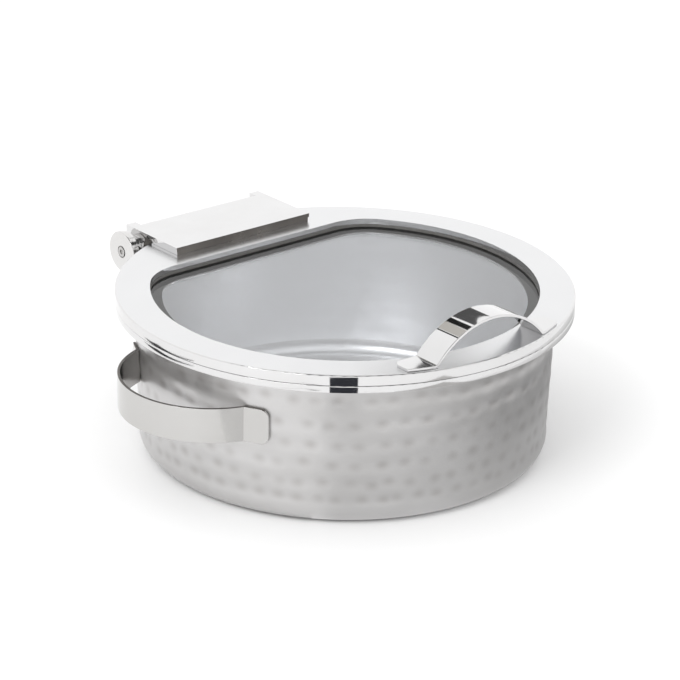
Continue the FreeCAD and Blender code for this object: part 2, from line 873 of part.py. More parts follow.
build_bowl()
build_rim()
build_base_disc()
build_side_handle("side_handle_left", -1)
build_side_handle("side_handle_right", 1)
build_lid_frame()
build_glass()
build_gasket()
build_retainer()
build_pads()
build_lid_handle()
build_top_plate()
build_backing_plate()
build_studs()
build_nuts()
build_tube("hinge_barrel", "-1 * lug_in", "2 * lug_in", "barrel_radius")
build_tube("hinge_collar_left", "-1 * collar_out", "collar_out - plate_half", "collar_radius")
build_tube("hinge_collar_right", "plate_half", "washer_out - plate_half", "collar_radius")
build_shaft()
build_saddle()
build_bracket()
build_bracket_screws()
build_end_disc("hinge_end_disc_left", -1, "disc_radius")
build_end_disc("hinge_end_disc_right", 1, "plain_disc")
build_end_screw("hinge_end_screw_left", -1)
build_end_screw("hinge_end_screw_right", 1)

doc.recompute()
for item in doc.Objects:
    if "Invalid" in item.State or "Error" in item.State:
        raise RuntimeError("bad object " + item.Name)

os.makedirs("parts", exist_ok=True)
for item in doc.Objects:
    if item.TypeId != "PartDesign::Body":
        continue
    if item.Shape.isNull() or not item.Shape.isValid():
        raise RuntimeError("bad shape " + item.Label)
    print(item.Label, len(item.Shape.Solids), round(item.Shape.Volume))
    item.Shape.exportStep("parts/%s.step" % item.Label)
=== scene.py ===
import math

import bmesh
import bpy
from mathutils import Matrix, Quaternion, Vector, noise


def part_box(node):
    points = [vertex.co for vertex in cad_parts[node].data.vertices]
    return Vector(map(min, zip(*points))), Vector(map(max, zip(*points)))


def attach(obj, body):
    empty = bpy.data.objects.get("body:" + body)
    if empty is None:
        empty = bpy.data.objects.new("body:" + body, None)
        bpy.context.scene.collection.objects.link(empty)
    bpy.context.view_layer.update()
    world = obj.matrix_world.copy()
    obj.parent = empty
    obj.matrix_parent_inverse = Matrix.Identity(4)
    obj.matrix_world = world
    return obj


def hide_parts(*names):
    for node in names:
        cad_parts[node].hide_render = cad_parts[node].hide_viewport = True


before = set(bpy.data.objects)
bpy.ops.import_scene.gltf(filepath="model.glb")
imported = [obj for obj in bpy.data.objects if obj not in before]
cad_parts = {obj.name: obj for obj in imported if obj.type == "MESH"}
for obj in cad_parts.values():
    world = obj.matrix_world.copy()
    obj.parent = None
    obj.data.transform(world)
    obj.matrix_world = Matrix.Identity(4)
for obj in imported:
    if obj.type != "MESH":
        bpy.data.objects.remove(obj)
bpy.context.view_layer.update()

# Round hammered chafing dish.  Metres, +Z up, the lid handle at -Y, the hinge at +Y.
# The bowl is rebuilt with real hammer dents, and the other steel parts that show are
# rebuilt with rounded edges.  The remaining CAD parts keep their meshes and get new
# materials.

MM = 0.001

# ------------------------------------------------------------------ bowl sizes

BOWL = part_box("bowl_shell")
BOWL_TOP_RADIUS = BOWL[1].x
BOWL_LOW_RADIUS = 176.0 * MM
BOWL_TOP = BOWL[1].z
BOWL_LOW = BOWL[0].z
CORNER = 13.5 * MM
SHEET = 1.5 * MM
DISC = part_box("induction_base_disc")
DISC_RECESS = DISC[1].x + 0.4 * MM
DISC_TOP = DISC[1].z
RECESS_EASE = 1.2 * MM
RECESS_DROP = 1.0 * MM
SEAT_EASE = 0.6 * MM
SEGMENTS = 720
WALL_ROWS = 66
CORNER_ROWS = 8

# hammer marks: height of each row in millimetres, and how many marks it has
DENT_ROWS = [(23.6, 66), (37.7, 60), (53.7, 54), (71.0, 56), (90.0, 54), (110.7, 54)]
FIRST_ROW = DENT_ROWS[0][0] * MM
ROW_GAP = (DENT_ROWS[-1][0] - DENT_ROWS[0][0]) / (len(DENT_ROWS) - 1) * MM
ROW_REACH = 26 * MM

# a mark is a deep core, longer along the wall, in a wide shallow dish
DENT_DEEP = 0.50 * MM
DENT_WIDE = 3.1 * MM
DENT_LONG = 1.25
DISH_DEEP = 0.22 * MM
DISH_WIDE = 7.5 * MM
MARK_STRENGTH = 0.8
MARK_UNEVEN = 0.45

# each row lies in a shallow band that wanders a little
BAND_DEEP = 0.24 * MM
BAND_WANDER = 1.4
WANDER_ROUND = 1.3
WANDER_UP = 9.0

# how far a mark strays from its place, and where the wall's dents fade out
STRAY_ALONG = 4.2 * MM
STRAY_UP = 2.2 * MM
NOISE_GAIN = 1.6
LOW_FADE = 6 * MM
HIGH_FADE = 5 * MM

# how much of the dents shows inside, and how much of the inside's painted light (its paleness) its
# bottom has
INSIDE_SHARE = 0.3
BOTTOM_LIGHT_SHARE = 0.25


def clamp(value):
    return min(1.0, max(0.0, value))


def row_marks():
    """Angle and height of every hammer mark, row by row."""
    rows = []
    for index, (height, count) in enumerate(DENT_ROWS):
        marks = []
        for step in range(count):
            seed = Vector((index * 7.31, step * 3.17, 1.7))
            angle = math.tau * (step + 0.5 * (index % 2)) / count
            angle += STRAY_ALONG / BOWL_LOW_RADIUS * NOISE_GAIN * noise.noise(seed)
            stray = STRAY_UP * NOISE_GAIN * noise.noise(seed + Vector((9.1, 0.0, 4.4)))
            up = height * MM + stray
            uneven = noise.noise(seed * 1.7 + Vector((0.0, 5.5, 0.0)))
            strength = MARK_STRENGTH + MARK_UNEVEN * uneven
            marks.append((angle, up, strength))
        rows.append(marks)
    return rows


MARKS = row_marks()


def dent(angle, z):
    """How far the wall is pushed in at a place, and how near that is to a mark's middle."""
    deep = 0.0
    core = 0.0
    for marks in MARKS:
        if abs(marks[0][1] - z) > ROW_REACH:
            continue
        nearest = round(angle / math.tau * len(marks))
        for step in range(nearest - 2, nearest + 3):
            at, up, strength = marks[step % len(marks)]
            turn = (angle - at + math.pi) % math.tau - math.pi
            square = (turn * BOWL_LOW_RADIUS / DENT_LONG) ** 2 + (z - up) ** 2
            close = math.exp(-square / (2 * DENT_WIDE ** 2))
            around = math.exp(-square / (2 * DISH_WIDE ** 2))
            deep += strength * (DENT_DEEP * close + DISH_DEEP * around)
            core = max(core, strength * close)
    across = Vector((math.cos(angle) * WANDER_ROUND, math.sin(angle) * WANDER_ROUND, z * WANDER_UP))
    wander = BAND_WANDER * noise.noise(across)
    deep += BAND_DEEP * 0.5 * (1 + math.cos(math.tau * (z - FIRST_ROW) / ROW_GAP + wander))
    low = clamp((z - BOWL_LOW - CORNER) / LOW_FADE)
    high = clamp((BOWL_TOP - z) / HIGH_FADE)
    return deep * low * high, core * low * high


# ------------------------------------------------------------------ materials

GRAIN_STRENGTH = 0.6
RUBBER_STRENGTH = 0.5

# hammered wall: satin steel with painted shade in the hammer marks, and an inside painted paler as
# painted light, seen through the glass
WALL_LIGHT = (0.610, 0.603, 0.602)
WALL_DARK = (0.545, 0.537, 0.533)
# painted shade: a darker colour laid into the hammer marks, where their hollows would be shaded
WALL_DENT_SHADE = (0.40, 0.385, 0.375)
# painted light: the inside is painted paler than the outside steel, so it looks brighter through
# the glass
WALL_INSIDE_LIGHT = (0.94, 0.945, 0.96)
WALL_SMOOTH = 0.30
WALL_ROUGH = 0.40
DENT_SHADE_FROM = 0.1
DENT_SHADE_FULL = 1.0
DENT_SHADE_MOST = 0.55


def new_material(name, colour, roughness, metallic=1.0):
    made = bpy.data.materials.new(name)
    made.use_nodes = True
    tree = made.node_tree
    shader = tree.nodes["Principled BSDF"]
    shader.inputs["Base Color"].default_value = (*colour, 1.0)
    shader.inputs["Roughness"].default_value = roughness
    shader.inputs["Metallic"].default_value = metallic
    return made, tree, shader


def noise_node(tree, scale, detail=3.0, stretch=(1.0, 1.0, 1.0)):
    """Noise in the object's own space, stretched along its axes."""
    place = tree.nodes.new("ShaderNodeTexCoord")
    mapping = tree.nodes.new("ShaderNodeMapping")
    mapping.inputs["Scale"].default_value = stretch
    texture = tree.nodes.new("ShaderNodeTexNoise")
    texture.inputs["Scale"].default_value = scale
    texture.inputs["Detail"].default_value = detail
    tree.links.new(place.outputs["Object"], mapping.inputs["Vector"])
    tree.links.new(mapping.outputs["Vector"], texture.inputs["Vector"])
    return texture.outputs["Fac"]


def spread(tree, source, low, high, start=0.3, end=0.7):
    """Map a noise value to a range."""
    node = tree.nodes.new("ShaderNodeMapRange")
    node.inputs["From Min"].default_value = start
    node.inputs["From Max"].default_value = end
    node.inputs["To Min"].default_value = low
    node.inputs["To Max"].default_value = high
    tree.links.new(source, node.inputs["Value"])
    return node.outputs["Result"]


def blend_colours(tree, factor, first, second):
    """Mix two fixed colours by a value."""
    node = tree.nodes.new("ShaderNodeMix")
    node.data_type = "RGBA"
    node.inputs["A"].default_value = (*first, 1.0)
    node.inputs["B"].default_value = (*second, 1.0)
    tree.links.new(factor, node.inputs["Factor"])
    return node.outputs["Result"]


def blend_by_attribute(tree, attribute, start, end, most, below, above):
    """Mix a fixed colour over another by a value stored on the mesh."""
    value = tree.nodes.new("ShaderNodeAttribute")
    value.attribute_name = attribute
    factor = spread(tree, value.outputs["Fac"], 0.0, most, start, end)
    mix = tree.nodes.new("ShaderNodeMix")
    mix.data_type = "RGBA"
    mix.inputs["B"].default_value = (*above, 1.0)
    tree.links.new(below, mix.inputs["A"])
    tree.links.new(factor, mix.inputs["Factor"])
    return mix.outputs["Result"]


def bump(tree, shader, height, distance, strength=1.0, before=None):
    """Relief from a height, on top of an earlier one."""
    node = tree.nodes.new("ShaderNodeBump")
    node.inputs["Distance"].default_value = distance
    node.inputs["Strength"].default_value = strength
    tree.links.new(height, node.inputs["Height"])
    if before is not None:
        tree.links.new(before, node.inputs["Normal"])
    tree.links.new(node.outputs["Normal"], shader.inputs["Normal"])
    return node.outputs["Normal"]


def steel(name, light, dark, smooth, rough, grain=None, grain_deep=0.0, wave_deep=0.0):
    """Bare steel: clouded colour, uneven gloss, brushed grain and a slow sheet wave."""
    made, tree, shader = new_material(name, light, smooth)
    clouds = spread(tree, noise_node(tree, scale=26.0, detail=4.0), 0.0, 1.0)
    tree.links.new(blend_colours(tree, clouds, light, dark), shader.inputs["Base Color"])
    streaks = noise_node(tree, scale=48.0, detail=6.0, stretch=(1.0, 1.0, 2.2))
    tree.links.new(spread(tree, streaks, smooth, rough), shader.inputs["Roughness"])
    normal = None
    if wave_deep:
        wave = noise_node(tree, scale=11.0, detail=1.0)
        normal = bump(tree, shader, wave, wave_deep)
    if grain:
        lines = noise_node(tree, scale=1.0, detail=2.0, stretch=grain)
        bump(tree, shader, lines, grain_deep, GRAIN_STRENGTH, normal)
    return made


def hammered_steel():
    """Satin wall steel: fine turning lines, painted shade in the hammer marks, and an inside
    painted paler as painted light.
    """
    made, tree, shader = new_material("hammered_wall_steel", WALL_LIGHT, WALL_SMOOTH)
    cloud = noise_node(tree, scale=14.0, detail=4.0, stretch=(1.0, 1.0, 2.5))
    base = blend_colours(tree, spread(tree, cloud, 0.0, 1.0), WALL_LIGHT, WALL_DARK)
    # painted shade: the wall is darkened near each hammer mark's middle
    dent_shaded = blend_by_attribute(tree, "dent_shade", DENT_SHADE_FROM, DENT_SHADE_FULL, DENT_SHADE_MOST, base, WALL_DENT_SHADE)
    # painted light: the inside of the wall is painted paler, and its bottom a little paler
    whole = blend_by_attribute(tree, "inside_light", 0.0, 1.0, 1.0, dent_shaded, WALL_INSIDE_LIGHT)
    tree.links.new(whole, shader.inputs["Base Color"])
    uneven = noise_node(tree, scale=60.0, detail=5.0)
    rough = spread(tree, uneven, WALL_SMOOTH, WALL_ROUGH)
    tree.links.new(rough, shader.inputs["Roughness"])
    lines = noise_node(tree, scale=1.0, detail=2.0, stretch=(30.0, 30.0, 1500.0))
    bump(tree, shader, lines, 0.012 * MM, GRAIN_STRENGTH)
    return made


def glass_material():
    """Clear glass with faint smears."""
    made, tree, shader = new_material("window_glass", (0.95, 0.965, 0.985), 0.01, metallic=0.0)
    shader.inputs["Transmission Weight"].default_value = 1.0
    shader.inputs["IOR"].default_value = 1.5
    smears = noise_node(tree, scale=30.0, detail=5.0)
    rough = spread(tree, smears, 0.0, 0.03, start=0.45, end=0.8)
    tree.links.new(rough, shader.inputs["Roughness"])
    return made


def rubber_material(name, colour, lighter):
    """Dull rubber with clouded colour and a fine skin."""
    made, tree, shader = new_material(name, colour, 0.5, metallic=0.0)
    cloud = spread(tree, noise_node(tree, scale=90.0, detail=4.0), 0.0, 1.0)
    tree.links.new(blend_colours(tree, cloud, colour, lighter), shader.inputs["Base Color"])
    rough = spread(tree, noise_node(tree, scale=400.0, detail=3.0), 0.42, 0.62)
    tree.links.new(rough, shader.inputs["Roughness"])
    skin = noise_node(tree, scale=2200.0, detail=2.0)
    bump(tree, shader, skin, 0.02 * MM, RUBBER_STRENGTH)
    return made


# each steel: name, light and dark colour, lowest and highest roughness, then its relief
POLISH = (0.700, 0.698, 0.700)
POLISH_WORN = (0.675, 0.670, 0.670)
HAMMERED = hammered_steel()
POLISHED = steel("polished_lid_steel", POLISH, POLISH_WORN, 0.035, 0.065,
                 wave_deep=0.05 * MM)
LID_TOP = steel("lid_top_steel", (0.705, 0.706, 0.712), (0.690, 0.691, 0.698), 0.24, 0.265,
                wave_deep=0.02 * MM)
HANDLE = steel("handle_strap_steel", (0.565, 0.558, 0.548), (0.535, 0.527, 0.515), 0.11, 0.17,
               grain=(40.0, 40.0, 1800.0), grain_deep=0.006 * MM, wave_deep=0.04 * MM)
GRIP = steel("lid_grip_steel", POLISH, POLISH_WORN, 0.03, 0.06,
             grain=(1600.0, 60.0, 60.0), grain_deep=0.002 * MM)
HINGE = steel("hinge_steel", (0.700, 0.694, 0.688), (0.650, 0.642, 0.634), 0.10, 0.18,
              grain=(1400.0, 60.0, 60.0), grain_deep=0.006 * MM)
DULL = steel("base_disc_steel", (0.560, 0.550, 0.540), (0.480, 0.468, 0.455), 0.30, 0.42,
             grain=(60.0, 1200.0, 60.0), grain_deep=0.01 * MM)
SCREW = steel("screw_steel", (0.560, 0.552, 0.545), (0.480, 0.470, 0.462), 0.20, 0.34,
              grain=(900.0, 900.0, 900.0), grain_deep=0.01 * MM)
# painted reflection: edge faces painted dark brown in place of the dark surroundings they would
# mirror
EDGE_REFLECTION = steel("painted_edge_reflection_steel", (0.190, 0.178, 0.166), (0.120, 0.111, 0.103), 0.26, 0.40,
                 grain=(700.0, 700.0, 60.0), grain_deep=0.01 * MM)
GLASS = glass_material()
SEAL = rubber_material("seal_rubber", (0.150, 0.146, 0.140), (0.180, 0.176, 0.170))
PAD = rubber_material("pad_rubber", (0.060, 0.060, 0.062), (0.085, 0.085, 0.088))


# ------------------------------------------------------------------ pieces

# how a CAD mesh is cleaned and its edges rounded
WELD = 0.004 * MM
FLAT_WITHIN = math.radians(0.4)
SHARP = math.radians(32.0)
ROUND_STEPS = 2
NORMAL_WEIGHT = 80

# which faces count as the lid's flat top, and which count as cut edges that get a painted dark
# reflection
LID_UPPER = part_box("lid_frame")[1].z
FACES_UP = 0.99
CUT_FACE = 0.9


def add_piece(name, mesh, body, material):
    """Visible piece that rides on a body."""
    piece = bpy.data.objects.new(name, mesh)
    bpy.context.scene.collection.objects.link(piece)
    piece.data.materials.clear()
    piece.data.materials.append(material)
    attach(piece, body)
    return piece


def bowl_profile():
    """Section from the inside middle, up and over the brim, to the outside middle.
    Each point is (radius, height, 1 where the wall is hammered)."""
    slope = (BOWL_TOP_RADIUS - BOWL_LOW_RADIUS) / (BOWL_TOP - BOWL_LOW - CORNER)
    flat = BOWL_LOW_RADIUS - CORNER
    floor = DISC_TOP + SHEET
    inside = [(DISC_RECESS * share, floor, 0) for share in (0.0, 0.3, 0.6, 0.85)]
    inside += [
        (DISC_RECESS + SHEET - RECESS_EASE, floor, 0),
        (DISC_RECESS + SHEET, floor - RECESS_DROP, 0),
        (DISC_RECESS + SHEET + RECESS_EASE, BOWL_LOW + SHEET, 0),
    ]
    outside = [(DISC_RECESS * share, DISC_TOP, 0) for share in (0.0, 0.3, 0.6, 0.99)]
    outside += [
        (DISC_RECESS, DISC_TOP, 0),
        (DISC_RECESS, BOWL_LOW + SEAT_EASE, 0),
        (DISC_RECESS + SEAT_EASE, BOWL_LOW, 0),
    ]
    for points, reach in ((inside, CORNER - SHEET), (outside, CORNER)):
        for step in range(CORNER_ROWS + 1):
            turn = math.pi / 2 * step / CORNER_ROWS
            across = flat + reach * math.sin(turn)
            points.append((across, BOWL_LOW + CORNER - reach * math.cos(turn), 0))
    rise = BOWL_TOP - BOWL_LOW - CORNER
    for points, back in ((inside, SHEET), (outside, 0.0)):
        for step in range(1, WALL_ROWS + 1):
            up = rise * step / WALL_ROWS
            points.append((BOWL_LOW_RADIUS - back + slope * up, BOWL_LOW + CORNER + up, 1))
    return inside + outside[::-1]


def build_bowl():
    """Hammered bowl in one closed skin, with the painted shade near the marks and the painted light
    of the inside stored on it.
    """
    profile = bowl_profile()
    work = bmesh.new()
    # this layer holds where painted shade goes, near each hammer mark's middle
    dent_shade = work.verts.layers.float.new("dent_shade")
    # this layer holds where the inside is painted paler, as painted light
    inside_light = work.verts.layers.float.new("inside_light")
    brim = profile.index(max(profile, key=lambda point: (point[1], -point[0])))
    rings = []
    for index, (radius, height, hammered) in enumerate(profile):
        if radius == 0.0:
            middle = work.verts.new((0.0, 0.0, height))
            middle[inside_light] = BOTTOM_LIGHT_SHARE if index <= brim else 0.0
            rings.append([middle])
            continue
        ring = []
        for step in range(SEGMENTS):
            angle = math.tau * step / SEGMENTS
            deep, core = dent(angle, height) if hammered else (0.0, 0.0)
            reach = radius - deep * (1.0 if index > brim else INSIDE_SHARE)
            place = (reach * math.cos(angle), reach * math.sin(angle), height)
            vert = work.verts.new(place)
            vert[dent_shade] = core if index > brim else 0.0
            vert[inside_light] = (1.0 if hammered else BOTTOM_LIGHT_SHARE) if index <= brim else 0.0
            ring.append(vert)
        rings.append(ring)
    for lower, upper in zip(rings, rings[1:]):
        for step in range(SEGMENTS):
            after = (step + 1) % SEGMENTS
            if len(lower) == 1:
                face = (lower[0], upper[step], upper[after])
            elif len(upper) == 1:
                face = (lower[step], upper[0], lower[after])
            else:
                face = (lower[step], upper[step], upper[after], lower[after])
            work.faces.new(face)
    bmesh.ops.recalc_face_normals(work, faces=work.faces)
    for face in work.faces:
        face.smooth = True
    mesh = bpy.data.meshes.new("hammered_bowl")
    work.to_mesh(mesh)
    work.free()
    piece = add_piece("hammered_bowl", mesh, "base", HAMMERED)
    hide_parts("bowl_shell")


def refine(node, name, body, material, slot, edge):
    """Copy of a CAD part with its sharp edges rounded, in place of the node."""
    work = bmesh.new()
    work.from_mesh(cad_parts[node].data)
    bmesh.ops.remove_doubles(work, verts=work.verts, dist=WELD)
    bmesh.ops.dissolve_limit(work, angle_limit=FLAT_WITHIN, verts=work.verts, edges=work.edges)
    for face in work.faces:
        face.smooth = True
    mesh = bpy.data.meshes.new(name)
    work.to_mesh(mesh)
    work.free()
    piece = add_piece(name, mesh, body, material)
    rounding = piece.modifiers.new("rounding", "BEVEL")
    rounding.width = edge
    rounding.segments = ROUND_STEPS
    rounding.limit_method = "ANGLE"
    rounding.angle_limit = SHARP
    rounding.miter_outer = "MITER_ARC"
    rounding.harden_normals = False
    even = piece.modifiers.new("even", "WEIGHTED_NORMAL")
    even.keep_sharp = False
    even.weight = NORMAL_WEIGHT
    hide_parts(node)
    return piece


def paint(piece, material, wanted):
    """Give some faces of a piece a second material."""
    piece.data.materials.append(material)
    for face in piece.data.polygons:
        if wanted(face):
            face.material_index = 1


def dress(node, material):
    """Give a CAD part's own mesh a new material."""
    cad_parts[node].data.materials.clear()
    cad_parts[node].data.materials.append(material)


def flat_top(face):
    """Whether a face belongs to the lid ring's flat top."""
    return face.normal.z > FACES_UP and face.center.z > LID_UPPER - SHEET / 2


def build_pieces():
    build_bowl()
    polished = (POLISHED, "polished_steel")
    refine("bowl_rim_ring", "rim_band", "base", *polished, 0.35 * MM)
    ring = refine("lid_frame", "lid_ring", "lid", *polished, 0.35 * MM)
    paint(ring, LID_TOP, flat_top)
    refine("lid_handle", "lid_grip", "lid", GRIP, "handle_steel", 0.45 * MM)
    cover = refine("hinge_top_plate", "hinge_cover", "lid", *polished, 0.45 * MM)
    under = refine("hinge_backing_plate", "hinge_under_plate", "lid", *polished, 0.35 * MM)
    for plate in (cover, under):
        # painted reflection: the plates' front edge faces are painted dark
        paint(plate, EDGE_REFLECTION, lambda face: face.normal.y < -CUT_FACE)
    for side in ("left", "right"):
        strap = refine("side_handle_" + side, side + "_strap", "base",
                       HANDLE, "handle_steel", 0.40 * MM)
        # painted reflection: the straps' top and bottom edge faces are painted dark
        paint(strap, EDGE_REFLECTION, lambda face: abs(face.normal.z) > CUT_FACE)
        refine("hinge_collar_" + side, "collar_" + side, "lid",
               HINGE, "hinge_steel", 0.5 * MM)
        refine("hinge_end_disc_" + side, "end_disc_" + side, "base",
               HINGE, "hinge_steel", 0.25 * MM)
        refine("hinge_end_screw_" + side, "end_screw_" + side, "base",
               SCREW, "fastener_steel", 0.3 * MM)
    refine("hinge_base_bracket", "hinge_bracket", "base", HINGE, "hinge_steel", 0.4 * MM)
    for node in ("hinge_saddle", "hinge_barrel", "hinge_shaft"):
        dress(node, HINGE)
    for node in ("hinge_bracket_screws", "hinge_plate_studs", "hinge_plate_nuts"):
        dress(node, SCREW)
    dress("induction_base_disc", DULL)
    dress("glass_retaining_ring", POLISHED)
    dress("glass_window", GLASS)
    dress("glass_gasket", SEAL)
    dress("lid_bumper_pads", PAD)


# ------------------------------------------------------------------ studio

CAMERA_AZIMUTH = math.radians(-40.24)
CAMERA_ELEVATION = math.radians(23.16)
CAMERA_DISTANCE = 2.2684
CAMERA_ROLL = math.radians(0.98)
CAMERA_LENS = 139.96
CAMERA_SENSOR = 36.0
CENTRE = Vector((0.0, 0.0, 70 * MM))
SIDE_STEP = 8.8 * MM
AIM_STEP = -3.6 * MM
AIM_RISE = 18.0 * MM

FLOOR_RADIUS = 9.0
FLOOR_SIDES = 96
FLOOR_GREY = 0.90
ROOM_FAR_SIDE = (0.59, 0.70, 0.20)
ROOM_NEAR = 1.03
ROOM_FAR = 1.22
SOFTBOX_PLACE = (-2.2, -0.6, 2.2)
SOFTBOX_SIZE = 1.4
SOFTBOX_POWER = 30.0

# what the lid handle's arch mirrors: each card from one angle to another, in degrees from
# the arch's crown, and its shade
GRIP_CARDS = [
    ("grey_flag", -1.0, 15.5, (0.11, 0.11, 0.11)),
    ("black_flag", 17.2, 22.0, (0.02, 0.02, 0.02)),
    ("beige_flag", 22.2, 30.0, (0.66, 0.64, 0.60)),
    ("line_flag", 30.3, 31.4, (0.02, 0.02, 0.02)),
]
CARD_AWAY = 0.5
CARD_WIDE = 0.06
CARD_LIFT = 0.6 * MM

# what the lid's edge mirrors off the floor: corners by their angle round the lid from the
# camera's side, in degrees, and their height on the lid's edge, in millimetres
EDGE_CARDS = [
    ("front_flag", ((-2.9, 108.0), (3.6, 108.0), (3.6, 160.0), (-2.9, 160.0)),
     (0.04, 0.042, 0.05)),
    ("left_flag", ((-56.0, 137.6), (-38.0, 134.6), (-37.0, 137.4), (-50.0, 138.6)),
     (0.04, 0.04, 0.04)),
    ("left_line", ((-30.0, 135.6), (-9.0, 134.2), (-5.0, 134.0), (-9.0, 134.8)),
     (0.30, 0.29, 0.28)),
    ("lens_flag", ((-8.5, 131.0), (-6.5, 129.8), (-4.6, 131.0), (-6.5, 132.2)),
     (0.10, 0.10, 0.10)),
    ("right_flag", ((12.0, 126.0), (50.0, 126.0), (62.0, 140.0), (24.0, 140.0)),
     (0.62, 0.61, 0.60)),
    ("right_line", ((5.0, 130.6), (24.0, 128.4), (26.0, 129.4), (5.0, 131.2)),
     (0.55, 0.54, 0.53)),
]

# overhead card, on the camera's side of the room
OVERHEAD_RISE = 68.0
OVERHEAD_AWAY = 2.5
OVERHEAD_WIDE = 3.4
OVERHEAD_LONG = 2.4
OVERHEAD_SHADE = (0.03, 0.03, 0.03)

# card that the hinge's round parts mirror
HINGE_FLAG_HEADING = (0.594, -0.46, 0.66)
HINGE_FLAG_AWAY = 1.2
HINGE_FLAG_WIDE = 0.5
HINGE_FLAG_LONG = 0.30
HINGE_FLAG_SHADE = (0.02, 0.02, 0.02)

# darker floor that the satin wall mirrors: distance from the bowl's axis, and how much
# darker the floor is there in front of the bowl and at its right
FLOOR_SHADES = [
    (0.167, 0.19, 0.42),
    (0.240, 0.17, 0.44),
    (0.290, 0.06, 0.68),
    (0.340, 0.03, 0.66),
    (0.400, 0.00, 0.42),
    (0.470, 0.00, 0.00),
]
FLOOR_FIRST = -8.0
FLOOR_FULL = 0.0
FLOOR_RIGHT = 85.0
FLOOR_FADING = 125.0
FLOOR_LAST = 150.0
FLOOR_STEPS = 65
FLOOR_LIFT = 0.2 * MM


def camera_axes():
    """The camera's right, up and backward directions, before its roll."""
    turn, lift = CAMERA_AZIMUTH, CAMERA_ELEVATION
    back = Vector((math.sin(turn) * math.cos(lift), -math.cos(turn) * math.cos(lift),
                   math.sin(lift)))
    right = Vector((math.cos(turn), math.sin(turn), 0.0))
    return right, back.cross(right), back


def add_camera():
    right, up, back = camera_axes()
    data = bpy.data.cameras.new("camera")
    data.lens = CAMERA_LENS
    data.sensor_width = CAMERA_SENSOR
    data.clip_start = 0.05
    data.clip_end = 50.0
    camera = bpy.data.objects.new("camera", data)
    bpy.context.scene.collection.objects.link(camera)
    camera.location = CENTRE + right * SIDE_STEP + back * CAMERA_DISTANCE
    aim = CENTRE + right * AIM_STEP + up * AIM_RISE
    camera.rotation_mode = "QUATERNION"
    look = (aim - camera.location).to_track_quat("-Z", "Y")
    camera.rotation_quaternion = look
    camera.rotation_quaternion.rotate(roll_about(look, CAMERA_ROLL))
    bpy.context.scene.camera = camera


def roll_about(look, angle):
    """Turn about the line of sight, anticlockwise as the camera sees itself turn."""
    sight = look @ Vector((0.0, 0.0, 1.0))
    return Quaternion(sight, angle)


def add_floor():
    """Pale matt paper floor."""
    mesh = bpy.data.meshes.new("floor")
    work = bmesh.new()
    bmesh.ops.create_circle(work, cap_ends=True, radius=FLOOR_RADIUS, segments=FLOOR_SIDES)
    work.to_mesh(mesh)
    work.free()
    floor = bpy.data.objects.new("floor", mesh)
    bpy.context.scene.collection.objects.link(floor)
    grey = (FLOOR_GREY, FLOOR_GREY, FLOOR_GREY)
    made, tree, shader = new_material("floor_paper", grey, 0.9, metallic=0.0)
    shader.inputs["Specular IOR Level"].default_value = 0.1
    mesh.materials.append(made)


def add_world():
    """Pale room, brightest behind the dish and dimmest behind the camera."""
    world = bpy.data.worlds.new("studio")
    bpy.context.scene.world = world
    world.use_nodes = True
    tree = world.node_tree
    background = tree.nodes["Background"]
    background.inputs["Color"].default_value = (1.0, 1.0, 1.0, 1.0)
    place = tree.nodes.new("ShaderNodeTexCoord")
    dot = tree.nodes.new("ShaderNodeVectorMath")
    dot.operation = "DOT_PRODUCT"
    dot.inputs[1].default_value = Vector(ROOM_FAR_SIDE).normalized()
    tree.links.new(place.outputs["Generated"], dot.inputs[0])
    ramp = tree.nodes.new("ShaderNodeMapRange")
    ramp.interpolation_type = "SMOOTHSTEP"
    ramp.inputs["From Min"].default_value = -1.0
    ramp.inputs["From Max"].default_value = 1.0
    ramp.inputs["To Min"].default_value = ROOM_NEAR
    ramp.inputs["To Max"].default_value = ROOM_FAR
    tree.links.new(dot.outputs["Value"], ramp.inputs["Value"])
    tree.links.new(ramp.outputs["Result"], background.inputs["Strength"])


def add_softbox():
    """Square soft light, high on the left."""
    data = bpy.data.lights.new("softbox_left", "AREA")
    data.shape = "RECTANGLE"
    data.size = SOFTBOX_SIZE
    data.size_y = SOFTBOX_SIZE
    data.energy = SOFTBOX_POWER
    light = bpy.data.objects.new("softbox_left", data)
    bpy.context.scene.collection.objects.link(light)
    light.location = SOFTBOX_PLACE
    light.rotation_mode = "QUATERNION"
    light.rotation_quaternion = (CENTRE - Vector(SOFTBOX_PLACE)).to_track_quat("-Z", "Y")


def finish_card(name, mesh, shade, layer=None):
    """Turn a mesh into a card that only mirrors see, with its brightness from a layer."""
    card = bpy.data.objects.new(name, mesh)
    bpy.context.scene.collection.objects.link(card)
    made = bpy.data.materials.new(name)
    made.use_nodes = True
    tree = made.node_tree
    tree.nodes.clear()
    glow = tree.nodes.new("ShaderNodeEmission")
    glow.inputs["Color"].default_value = (*shade, 1.0)
    if layer:
        value = tree.nodes.new("ShaderNodeAttribute")
        value.attribute_name = layer
        tree.links.new(value.outputs["Fac"], glow.inputs["Strength"])
    out = tree.nodes.new("ShaderNodeOutputMaterial")
    tree.links.new(glow.outputs["Emission"], out.inputs["Surface"])
    mesh.materials.append(made)
    card.visible_camera = False
    card.visible_diffuse = False
    card.visible_transmission = False
    card.visible_shadow = False


def add_card(name, corners, shade):
    """Flat card of one shade."""
    mesh = bpy.data.meshes.new(name)
    work = bmesh.new()
    for corner in corners:
        work.verts.new(corner)
    work.faces.new(work.verts)
    work.to_mesh(mesh)
    work.free()
    finish_card(name, mesh, shade)


def rectangle(middle, across, steep):
    """Corners of a rectangle from its middle and its two half sides."""
    return [middle - across - steep, middle + across - steep,
            middle + across + steep, middle - across + steep]


